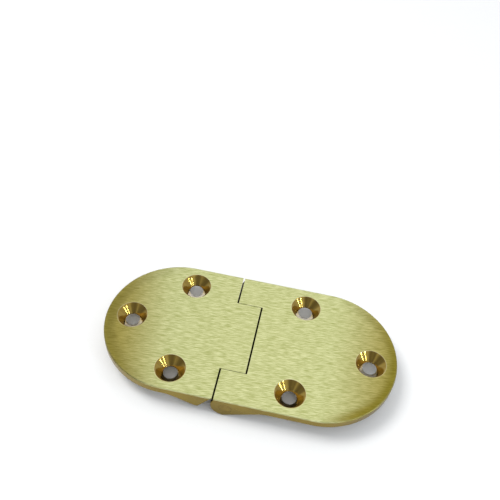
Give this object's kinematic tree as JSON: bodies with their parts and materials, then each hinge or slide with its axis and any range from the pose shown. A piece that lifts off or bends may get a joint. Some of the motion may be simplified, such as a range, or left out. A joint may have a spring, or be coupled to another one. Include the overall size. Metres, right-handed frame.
{
  "type": "butler tray hinge",
  "caption": "Flush brass hinge with round-ended leaves, hidden knuckles and countersunk holes, for a folding tray side.",
  "frame": {"origin": "on the flush top face, straight above the middle of the hinge pin", "axes": "+X along the open hinge, from the pin towards the round end of the two-fingered leaf; +Y along the pin; +Z out of the flush top faces"},
  "size_m": [0.0762, 0.0382, 0.007],
  "materials": {
    "leaf_brass": "brushed lengthwise on the face",
    "pin_brass": "drawn, ends dressed flush"
  },
  "bodies": {
    "finger_side": {"finger_leaf": "leaf_brass", "hinge_pin": "pin_brass"},
    "tongue_side": {"tongue_leaf": "leaf_brass"}
  },
  "joints": [
    {"name": "leaf_fold", "type": "hinge", "parent": "finger_side", "child": "tongue_side", "pos_m": [0, 0, -0.0032], "axis": [0, 1, 0], "range_deg": [0, 93]}
  ]
}
